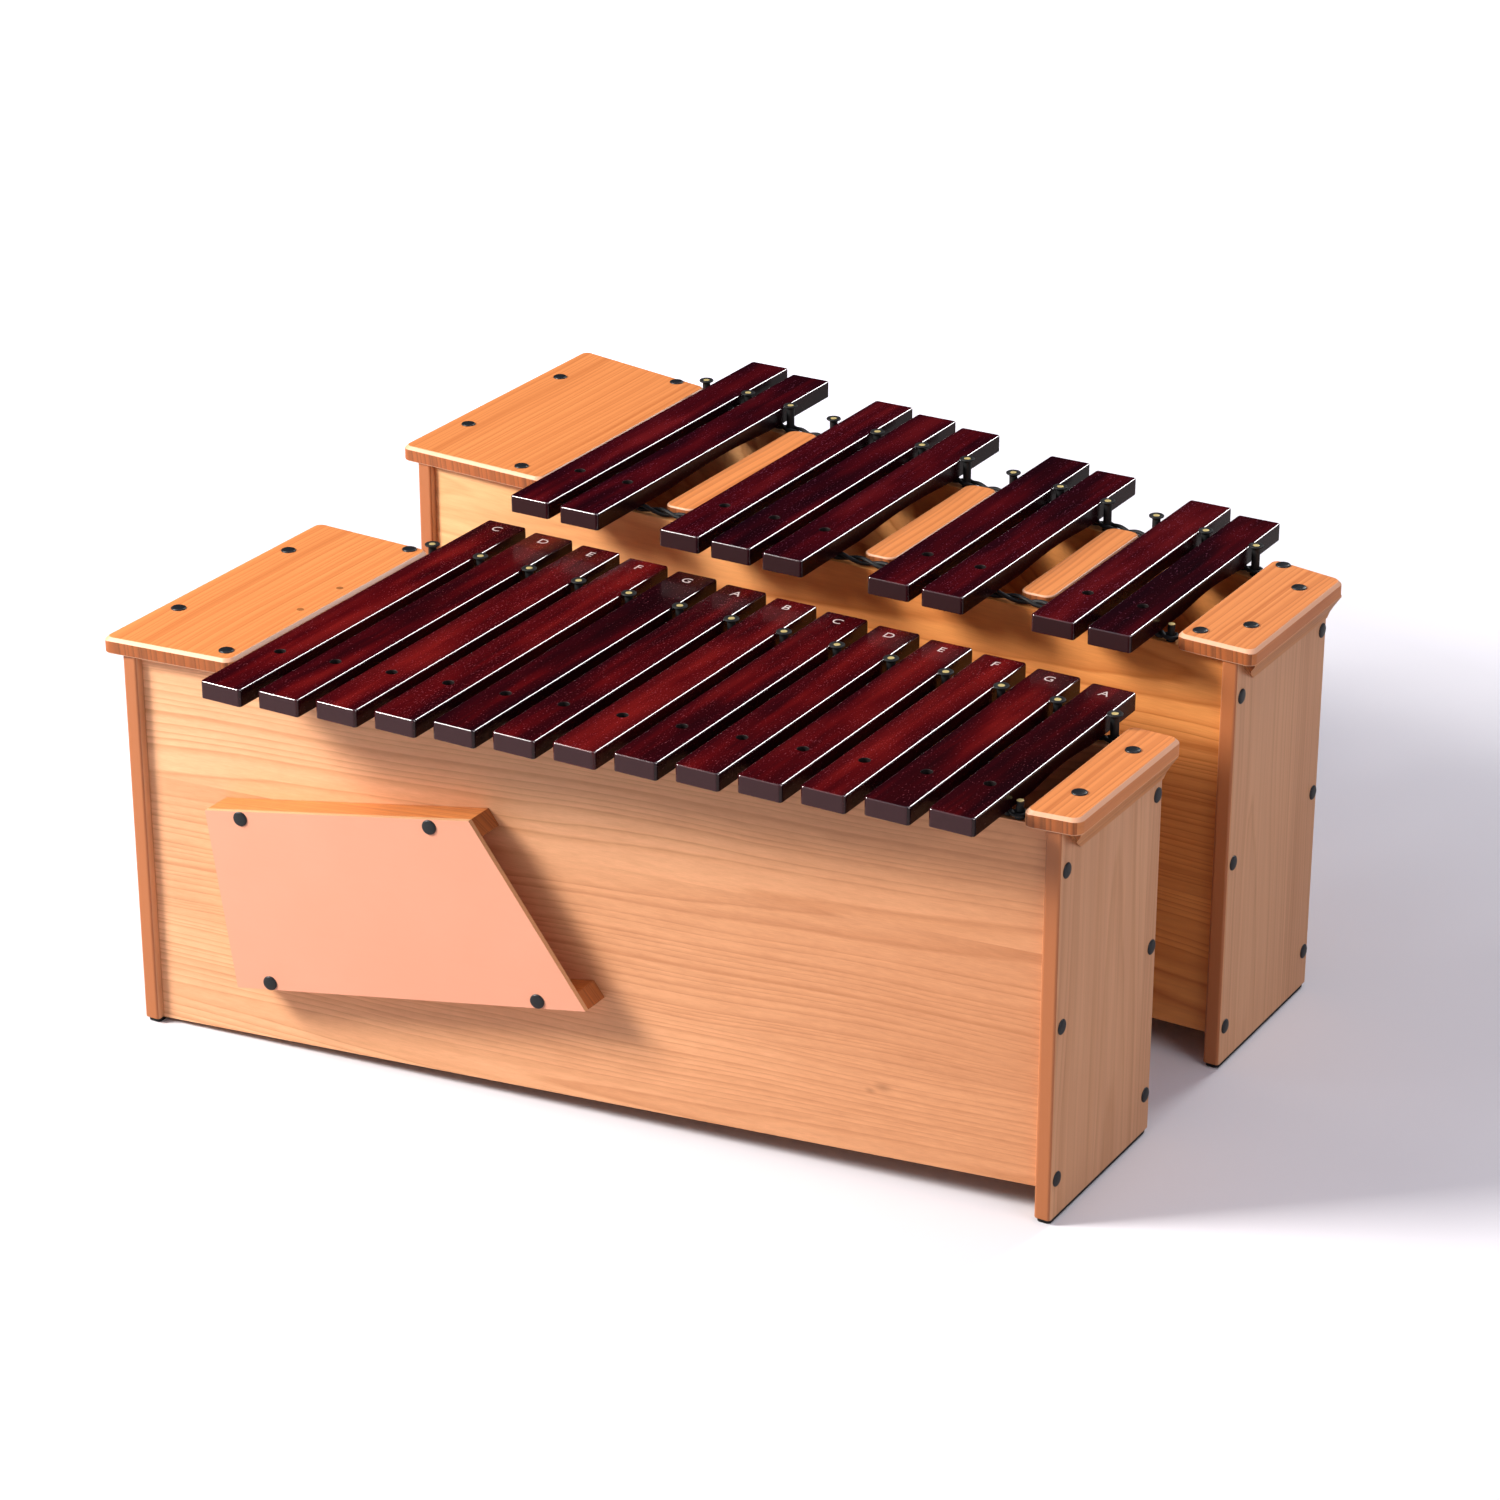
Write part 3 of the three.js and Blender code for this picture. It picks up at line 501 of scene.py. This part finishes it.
# ---- bars ---------------------------------------------------------------------------------------
def build_bar(s, slot, note):
    """One bar with its tuning arch and pin hole, and its note letter in the front row."""
    x0, along = s["start"] + slot * PITCH, slot * PITCH
    y_front = s["front_ends"][0] + s["front_ends"][1] * along
    y_rear = s["rear_ends"][0] + s["rear_ends"][1] * along
    middle = along + BAR_W / 2
    y_hole = s["front_pins"][0] + s["front_pins"][1] * middle
    y_node = s["rear_pins"][0] + s["rear_pins"][1] * middle
    low, top = s["bar_top"] - BAR_T, s["bar_top"]

    def section(y, side, crown, lift):
        a, b, t, u = x0 + side, x0 + BAR_W - side, top - crown, low + lift + crown * 0.6
        points = []
        for cx, cz, r, start in ((b, t, 1.7, 90), (a, t, 1.7, 180), (a, u, 1.0, 270), (b, u, 1.0, 360)):
            steps = 6 if cz == t else 3
            mx = cx - r if cx == b else cx + r
            mz = cz - r if cz == t else cz + r
            for k in range(steps + 1):
                angle = math.radians(start - 90 + 90 * k / steps)
                points.append((mx + r * math.cos(angle), y, mz + r * math.sin(angle)))
        return points

    edge = (0.0, 0.25, 0.6, 1.1, 1.8, 2.6, 3.6)
    rings = [section(y_front + d, arc_inset(d, 3.6), arc_inset(d, 1.7), 0) for d in edge]
    arch0, arch1 = y_hole + 36, y_node - 28
    for k in range(17):
        t = k / 16
        lift = 3.6 * (0.5 - 0.5 * math.cos(2 * math.pi * t)) ** 0.6
        rings.append(section(arch0 + (arch1 - arch0) * t, 0, 0, lift))
    rings += [section(y_rear - d, arc_inset(d, 3.6), arc_inset(d, 1.7), 0) for d in reversed(edge)]
    name = f"{s['prefix']}_bar_{note}"
    obj = make("wood_" + name, *loft(rings), name, "rosewood", M["rosewood"], sharp=50)

    cut = [(0.0, low - 4), (5.0, low - 4), (5.0, top - 0.5), (5.35, top - 0.1), (5.9, top + 0.6),
           (5.9, top + 4), (0.0, top + 4)]
    cutter = bpy.data.meshes.new("cut")
    verts, faces = lathe(cut, (x0 + BAR_W / 2, y_hole, 0), (0, 0, 1), 28)
    cutter.from_pydata([tuple(c * MM for c in v) for v in verts], [], faces)
    tool = bpy.data.objects.new("cut", cutter)
    bpy.context.scene.collection.objects.link(tool)
    obj.modifiers.clear()
    boolean = obj.modifiers.new("hole", "BOOLEAN")
    boolean.object, boolean.solver = tool, "EXACT"
    bpy.context.view_layer.update()
    solid = bpy.data.meshes.new_from_object(obj.evaluated_get(bpy.context.evaluated_depsgraph_get()))
    obj.modifiers.clear()
    obj.data = solid
    flatten(obj)
    solid.set_sharp_from_angle(angle=math.radians(50))
    solid.materials.append(M["end_" + s["prefix"]])
    solid.materials.append(M["bore"])
    solid.materials.append(M["rosewood_edge"])
    solid.materials.append(M["rosewood_side_painted_shade"])
    axis = Vector(((x0 + BAR_W / 2) * MM, y_hole * MM))
    for face in solid.polygons:
        # the hole walls take the near-black material: painted shade inside the hole
        in_hole = (face.center.xy - axis).length < 6.5 * MM and abs(face.normal.z) < 0.95
        if in_hole:
            face.material_index = 2
        elif abs(face.normal.y) > 0.93:
            face.material_index = 1
        elif 0.30 < face.normal.z < 0.98:
            face.material_index = 3
        # the bars' long side faces take the darkened copy: painted shade
        elif abs(face.normal.x) > 0.85:
            face.material_index = 4
    bpy.data.objects.remove(tool)
    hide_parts(name)

    if s is DIATONIC:
        letter = bpy.data.curves.new("letter", "FONT")
        letter.body = note[-1].upper()
        letter.size, letter.extrude = 14.5 * MM, 0.03 * MM
        letter.align_x, letter.align_y = "CENTER", "CENTER"
        text = bpy.data.objects.new("letter", letter)
        bpy.context.scene.collection.objects.link(text)
        bpy.context.view_layer.update()
        mesh = bpy.data.meshes.new_from_object(text.evaluated_get(bpy.context.evaluated_depsgraph_get()))
        bpy.data.objects.remove(text)
        mesh.materials.clear()
        mesh.materials.append(M["print"])
        mark = bpy.data.objects.new(f"note_{note}", mesh)
        mark.location = ((x0 + BAR_W / 2 - 1.2) * MM, (y_rear - 18.0) * MM, (top + 0.04) * MM)
        bpy.context.scene.collection.objects.link(mark)
        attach(mark, name)


# ---- cords, sleeves and nails -------------------------------------------------------------------
STRAND_R, TWIST_R = 2.05, 2.15


def cord_path(s, key, pins, around):
    """One loop of cord: out along one strand, round the end pin, back along the other, the two
    twisted between pins and spread round each sleeve."""
    y_at = lambda x: pin_y(s, key, x)
    mid = s["board_top"] - BOARD_T + 0.3 + STRAND_R + TWIST_R
    out, back = [], []
    for a, b in zip(pins, pins[1:]):
        span = b - a
        half_turns = 2 * max(1, round(span / 56))
        samples = max(12, int(span / 2.6))
        for k in range(samples):
            t = k / samples
            near = min(t, 1 - t) * span
            wide = TWIST_R + (around - TWIST_R) * max(0.0, 1 - near / 11.0) ** 1.5
            phase = math.pi * half_turns * min(1.0, max(0.0, (t * span - 5) / (span - 10)))
            x = a + span * t
            out.append((x, y_at(x) + wide * math.cos(phase), mid + TWIST_R * math.sin(phase)))
            back.append((x, y_at(x) - wide * math.cos(phase), mid - TWIST_R * math.sin(phase)))
    path = list(out)
    for k in range(9):
        a = math.pi / 2 - math.pi * k / 8
        path.append((pins[-1] + around * math.cos(a), y_at(pins[-1]) + around * math.sin(a), mid))
    path += list(reversed(back))
    for k in range(1, 8):
        a = -math.pi / 2 - math.pi * k / 8
        path.append((pins[0] + around * math.cos(a), y_at(pins[0]) + around * math.sin(a), mid))
    return path


def tube(path, radius, sides=9):
    """A closed loop of round cord along a path."""
    rings = []
    count = len(path)
    for i, point in enumerate(path):
        ahead = Vector(path[(i + 1) % count]) - Vector(path[i - 1])
        ahead.normalize()
        u = ahead.cross(Vector((0, 0, 1))).normalized()
        v = ahead.cross(u)
        turns = [2 * math.pi * k / sides for k in range(sides)]
        rings.append([tuple(Vector(point) + (u * math.cos(a) + v * math.sin(a)) * radius) for a in turns])
    return loft(rings, closed=True)


def build_cords(s):
    """Both cord loops of a box with the sleeves and brass nails that hold them."""
    low = s["board_top"] - BOARD_T + FIT_GAP
    front = [s["start"] + slot * PITCH + BAR_W / 2 for slot, _ in s["bars"]] + [s["anchor"]]
    rear = [s["start"] + k * PITCH - (PITCH - BAR_W) / 2 for k in range(s["slots"] + 1)]
    p, body = s["prefix"], s["body"]
    top = s["bar_top"] + FLANGE_RISE
    rise = top - low
    rear_profile = [(0, 0), (4.6, 0), (4.6, 1.6), (4.0, 2.6), (3.9, rise - 4.6), (4.3, rise - 3.4),
                    (5.6, rise - 2.4), (6.9, rise - 1.9), (7.2, rise - 1.4), (7.15, rise - 0.7),
                    (6.6, rise - 0.25), (5.4, rise - 0.15), (3.6, rise - 0.5), (3.0, rise - 0.9),
                    (0, rise - 0.9)]
    height = FRONT_PIN_HEIGHT
    front_profile = [(0, 0), (4.2, 0), (4.2, 1.4), (3.4, 2.4), (3.25, height - 1.6), (3.25, height - 0.9),
                     (2.7, height - 0.7), (0, height - 0.7)]
    for key, pins, profile, reach, nail_z in (
        ("front_pins", front, front_profile, 5.6, low + height - 0.7),
        ("rear_pins", rear, rear_profile, 6.1, top - 0.9),
    ):
        side = key.split("_")[0]
        places = [(x, pin_y(s, key, x)) for x in pins]
        cord = cord_path(s, key, pins, reach)
        make(f"{p}_{side}_cord_loop", *tube(cord, STRAND_R), body, "rubber", M["rubber"],
             [f"{p}_{side}_cord"], 60)
        make(f"{p}_{side}_sleeves", *gather([lathe(profile, (x, y, low), (0, 0, 1), 24) for x, y in places]),
             body, "rubber", M["rubber"], sharp=50)
        dome = [(0, -2.0), (1.6, -2.0), (1.6, -0.2), (3.1, 0.02), (3.05, 0.35), (2.3, 0.6), (1.1, 0.72),
                (0, 0.75)]
        make(f"{p}_{side}_nails", *gather([lathe(dome, (x, y, nail_z), (0, 0, 1), 18) for x, y in places]),
             body, "brass", M["brass"], sharp=60)


# ---- boards and end panels ------------------------------------------------------------------------
def plan_outline(s, span, inset, radius, steps=8):
    """A top board's outline in plan, following the slanting front and back of its box."""
    x0, x1 = span
    points = []
    for u, v in rounded(inset, x1 - x0 - inset, inset, 1000 - inset, max(radius, 0.5), steps):
        x = x0 + u
        front, back = end_front(s, x) - OVERHANG, end_back(s, x) + OVERHANG
        points.append((x, front + v if v < 500 else back - (1000 - v)))
    return points


def stack(outline_at, levels):
    """A solid from one outline drawn at (inset, height) levels."""
    return loft([[(x, y, z) for x, y in outline_at(inset)] for inset, z in levels])


def build_boards(s):
    """Cover and cap boards, end panels, foot strips and the end panels' screw caps."""
    p, body = s["prefix"], s["body"]
    low, top = s["board_top"] - BOARD_T, s["board_top"]
    for part, span in (("cover_board", s["cover"]), ("cap_board", s["cap"])):
        levels = [(0.9, low), (0.25, low + 0.25), (0, low + 0.9), (0, top - 3.7), (0.18, top - 3.15),
                  (0.5, top - 2.75), (2.7, top - 0.5), (3.2, top - 0.14), (3.9, top)]
        make(f"wood_{p}_{part}", *stack(lambda i, sp=span: plan_outline(s, sp, i, 9.0 - i * 0.6), levels),
             body, "pine", M["top"], [f"{p}_{part}"], 20)
    for side, x0, x1 in (("left", s["left"], s["left"] + END_T), ("right", s["right"] - END_T, s["right"])):
        mid = (x0 + x1) / 2
        y0, y1 = end_front(s, mid), end_back(s, mid)
        outline = lambda i: rounded(x0 + i, x1 - i, y0 + i, y1 - i, 3.2 - i, 6)
        bottom, head = FOOT_T + FIT_GAP, low - FIT_GAP
        levels = [(0.8, bottom), (0.2, bottom + 0.25), (0, bottom + 0.9), (0, head)]
        make(f"wood_{p}_{side}_end_panel", *stack(outline, levels), body, "pine", M["end"],
             [f"{p}_{side}_end_panel"], 30)
        foot = lambda i: rounded(x0 + 1.5 + i, x1 - 1.5 - i, y0 + 3 + i, y1 - 3 - i, 3.0 - i * 0.5, 5)
        make(f"rubber_{p}_{side}_foot", *stack(foot, [(0.6, 0), (0.15, 0.2), (0, 0.7), (0, FOOT_T)]),
             body, "rubber", M["rubber"], [f"{p}_{side}_foot_strip"], 30)
        # screw caps down both edges of the end panel
        face, out = (x1, 1) if side == "right" else (x0, -1)
        spots = [(face, y, z) for z in s["screw_heights"] for y in (y0 + SCREW_INSET, y1 - SCREW_INSET)]
        parts = [lathe(CAP, spot, (out, 0, 0)) for spot in spots]
        make(f"{p}_{side}_end_screw_caps", *gather(parts), body, "cap_plastic", M["cap"], sharp=40)


CAP = [(0, 0.02), (7.0, 0.02), (7.0, 0.5), (6.7, 1.0), (5.9, 1.45), (4.4, 1.75), (2.2, 1.9), (0, 1.95)]

TOP_SCREWS = {
    "dia": [(-450, -304), (-352, -362.5), (-449, -136), (-352, -76), (440.3, -149), (439.7, -249)],
    "chr": [(-446.5, 334), (-447.7, 167.4), (-336, 93.5), (-335.4, 381.3),
            (408.3, 228.5), (443.2, 185.2), (442.7, 82), (409.4, 48)],
}


def build_trim(s):
    """Screw caps on the top boards, and the two wood plugs in the front box's cover board."""
    p, body = s["prefix"], s["body"]
    parts = [lathe(CAP, (x, y, s["board_top"]), (0, 0, 1)) for x, y in TOP_SCREWS[p]]
    make(f"{p}_board_screw_caps", *gather(parts), body, "cap_plastic", M["cap"], sharp=40)
    if s is DIATONIC:
        plug = [(0, 0.02), (3.3, 0.02), (3.3, 0.12), (3.0, 0.22), (0, 0.25)]
        plugs = ((-352.5, -250), (-352, -189))
        spots = [lathe(plug, (x, y, s["board_top"]), (0, 0, 1), 18) for x, y in plugs]
        make("dia_board_plugs", *gather(spots), body, "pine_edge", M["plug"])


def build_duct():
    """The four screw caps on the tuning duct's cover."""
    slope = DIATONIC["front_pins"][1]
    screws = dict(top_left=(-317, 244), top_right=(-125, 273.5), bottom_left=(-294.5, 84),
                  bottom_right=(-22.5, 124.5))
    for where, (x, z) in screws.items():
        face = pin_y(DIATONIC, "front_pins", x) - PIN_TO_FACE - DUCT_DEPTH - DUCT_COVER - 2 * FIT_GAP
        make(f"cap_duct_{where}", *lathe(CAP, (x, face, z), (slope, -1, 0), 28), "diatonic_box",
             "cap_plastic", M["cap"], [f"duct_screw_cap_{where}"], 40)


def build_spacers():
    """The boards in the gaps of the rear row."""
    s = CHROMATIC
    low = s["board_top"] - BOARD_T
    for i, (before, after) in enumerate(((1, 3), (5, 7), (8, 10))):
        middle = s["start"] + (before * PITCH + BAR_W + after * PITCH) / 2 - 1.5
        x0, x1 = middle - SPACER_HALF, middle + SPACER_HALF
        y0 = pin_y(s, "front_pins", x0) + 5.7
        y1 = pin_y(s, "rear_pins", x1) - 5.7
        outline = lambda k: rounded(x0 + k, x1 - k, y0 + k, y1 - k, 10.0 - k * 0.5, 8)
        levels = [(0.6, low), (0, low + 0.6), (0, low + 7.6), (0.3, low + 8.6), (1.0, low + 9.4),
                  (2.0, low + 10)]
        make(f"wood_chr_spacer_{i + 1}", *stack(outline, levels), s["body"], "pine", M["top"],
             [f"chr_spacer_board_{i + 1}"], 30)


for box in (DIATONIC, CHROMATIC):
    for slot, note in box["bars"]:
        build_bar(box, slot, note)
    build_cords(box)
    build_boards(box)
    build_trim(box)
build_duct()
build_spacers()

# ---- panels, rails and strips that stay as solids: eased edges and their own timber ----------------
KEPT = {
    "dia_front_panel": "front", "dia_back_panel": "front", "dia_floor_board": "front",
    "chr_front_panel": "front_chr", "chr_back_panel": "front_chr", "chr_floor_board": "front_chr",
    "dia_grip_strip": "edge", "chr_grip_strip": "edge",
    "duct_cover": "plywood", "duct_top_rail": "rail", "duct_bottom_rail": "rail", "duct_left_rail": "end",
}
for node, look in KEPT.items():
    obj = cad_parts[node]
    obj.data.materials.clear()
    obj.data.materials.append(M[look])
    bevel = obj.modifiers.new("eased", "BEVEL")
    bevel.width, bevel.segments, bevel.limit_method = 0.7 * MM, 2, "ANGLE"
    bevel.angle_limit = math.radians(40)

# ---- floor, light and camera ---------------------------------------------------------------------
# The flat tops of the bars mirror this direction, so the world is dim there; the rounded edges
# mirror the lights front_edges and long_edges.
TOPS_MIRROR = (-0.463, 0.787, 0.408)
FLOOR_SIZE, REACH = 30, 4.0          # metres; the floor's glow rises over its reach

bpy.ops.mesh.primitive_plane_add(size=FLOOR_SIZE, location=(0, 0, 0))
floor = bpy.context.object
floor.name = "floor"
g = Graph("floor_white")
place = g.add("ShaderNodeTexCoord", out=3)
reach = g.add("ShaderNodeVectorMath", out=1, props=dict(operation="LENGTH"), i0=place)
far = g.ramp(g.math("DIVIDE", reach, REACH), [(0.27, grey(0.0)), (0.60, grey(0.9))])
# white paper as seen, and a greyer one for what it throws back on the object
seen = g.add("ShaderNodeLightPath")
pale = g.mix(seen, (0.44, 0.43, 0.43, 1), (0.80, 0.80, 0.85, 1))
floor.data.materials.append(g.finish(pale, 0.8))
glow = g.mix(1.0, far, (0.90, 0.84, 1.0, 1), "MULTIPLY")
g.put(g.shader.inputs["Emission Color"], glow)
g.put(g.shader.inputs["Emission Strength"], seen)
g.shader.inputs["Specular IOR Level"].default_value = 0.15

world = bpy.data.worlds.new("studio")
bpy.context.scene.world = world
world.use_nodes = True
sky = world.node_tree
background = sky.nodes["Background"]
background.inputs[0].default_value = (0.89, 0.86, 1.0, 1)
direction = sky.nodes.new("ShaderNodeTexCoord")
toward = sky.nodes.new("ShaderNodeVectorMath")
toward.operation = "DOT_PRODUCT"
toward.inputs[1].default_value = TOPS_MIRROR
sky.links.new(direction.outputs["Generated"], toward.inputs[0])
shade = sky.nodes.new("ShaderNodeMapRange")
shade.inputs["From Min"].default_value, shade.inputs["From Max"].default_value = 0.45, 0.80
shade.inputs["To Min"].default_value, shade.inputs["To Max"].default_value = 0.25, 0.004
sky.links.new(toward.outputs["Value"], shade.inputs["Value"])
# the backdrop itself reads as white paper, and only its light on the object is dimmed
backdrop = sky.nodes.new("ShaderNodeMath")
backdrop.operation = "MAXIMUM"
sky.links.new(shade.outputs[0], backdrop.inputs[0])
sky.links.new(sky.nodes.new("ShaderNodeLightPath").outputs[0], backdrop.inputs[1])
sky.links.new(backdrop.outputs[0], background.inputs[1])


def softbox(name, at, target, width, height, power, colour, along=None):
    """A rectangular light facing target; along is the direction its width runs in."""
    light = bpy.data.lights.new(name, "AREA")
    light.shape, light.size, light.size_y = "RECTANGLE", width, height
    light.energy, light.color = power, colour
    obj = bpy.data.objects.new(name, light)
    back = (Vector(at) - Vector(target)).normalized()
    if along is None:
        obj.rotation_euler = back.to_track_quat("Z", "Y").to_euler()
    else:
        width_axis = (Vector(along) - back * Vector(along).dot(back)).normalized()
        turn = Matrix((width_axis, back.cross(width_axis), back)).transposed()
        obj.rotation_euler = turn.to_euler()
    obj.location = at
    bpy.context.scene.collection.objects.link(obj)


softbox("key", (-3.2, -2.66, 2.85), (0, 0, 0.2), 1.3, 1.3, 365, (1.0, 0.96, 0.91))
softbox("overhead", (0.3, 0.5, 3.6), (0, 0, 0), 2.2, 2.2, 12, (0.86, 0.82, 1.0))
softbox("fill", (3.2, -1.0, 1.9), (0, 0, 0.2), 1.8, 1.4, 34, (1.0, 0.92, 0.92))
softbox("front_edges", (-1.85, -1.5, 2.85), (0, 0, 0.4), 3.0, 0.4, 27, (1.0, 0.98, 0.96), (0, 3.15, 1.63))
softbox("long_edges", (0.9, 3.93, 3.35), (0, 0, 0.4), 1.2, 1.6, 95, (1.0, 1.0, 1.0), (3, 0, -1))

camera_data = bpy.data.cameras.new("camera")
LOOKS_DOWN, TURNED = 24.061, 30.505   # degrees
camera_data.sensor_width, camera_data.lens = 36.0, 102.81
camera_data.clip_start, camera_data.clip_end = 0.05, 60
camera = bpy.data.objects.new("camera", camera_data)
camera.location = (1.83998, -3.16274, 1.86314)
camera.rotation_euler = (math.radians(90 - LOOKS_DOWN), 0, math.radians(TURNED))
bpy.context.scene.collection.objects.link(camera)
bpy.context.scene.camera = camera
bpy.context.scene.view_settings.view_transform = "Standard"
